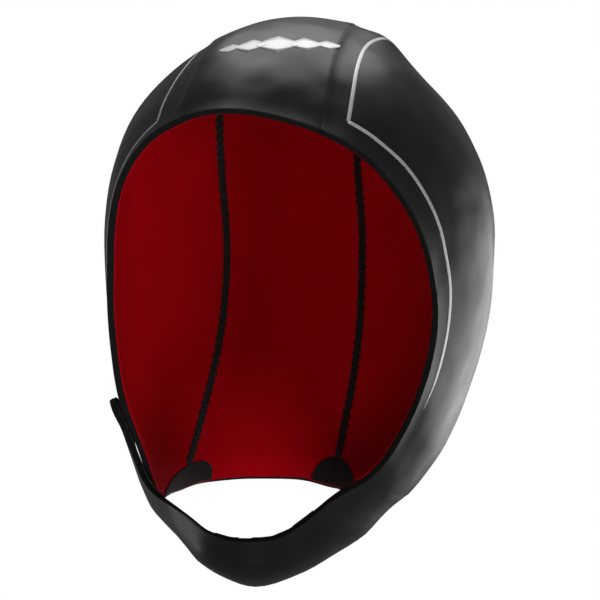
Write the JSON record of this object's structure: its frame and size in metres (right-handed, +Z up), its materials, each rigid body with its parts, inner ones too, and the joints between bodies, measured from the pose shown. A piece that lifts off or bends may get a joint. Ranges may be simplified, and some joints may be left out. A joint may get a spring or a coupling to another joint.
{
  "type": "neoprene skull cap",
  "caption": "Close-fitting swim cap of smooth black foam rubber with a red jersey lining, covering ears and nape, with a chin strap that laps over one cheek.",
  "frame": {"origin": "inside top of the crown, where the cap sits on a head", "axes": "+Z up along the wearer's head, the face opening looks towards -Y, +X is the side that the chin strap grows out of (the wearer's left)"},
  "size_m": [0.1622, 0.1682, 0.2318],
  "materials": {
    "skin_rubber": "smooth skin of foamed rubber, half gloss with a soft mottled sheen",
    "lining_jersey": "fine knitted jersey, matt",
    "seam_tape": "black tape with zigzag stitches",
    "fastener": "black hook pad",
    "silver_print": "thin silver transfer"
  },
  "bodies": {
    "root": {"crown_panel": "skin_rubber", "crown_lining": "lining_jersey", "strap_side_panel": "skin_rubber", "strap_side_lining": "lining_jersey", "tab_side_panel": "skin_rubber", "tab_side_lining": "lining_jersey", "seam_tape_tab_side": "seam_tape", "seam_tape_strap_side": "seam_tape", "seam_end_patch_tab_side": "seam_tape", "seam_end_patch_strap_side": "seam_tape", "hook_patch": "fastener"}
  },
  "joints": []
}
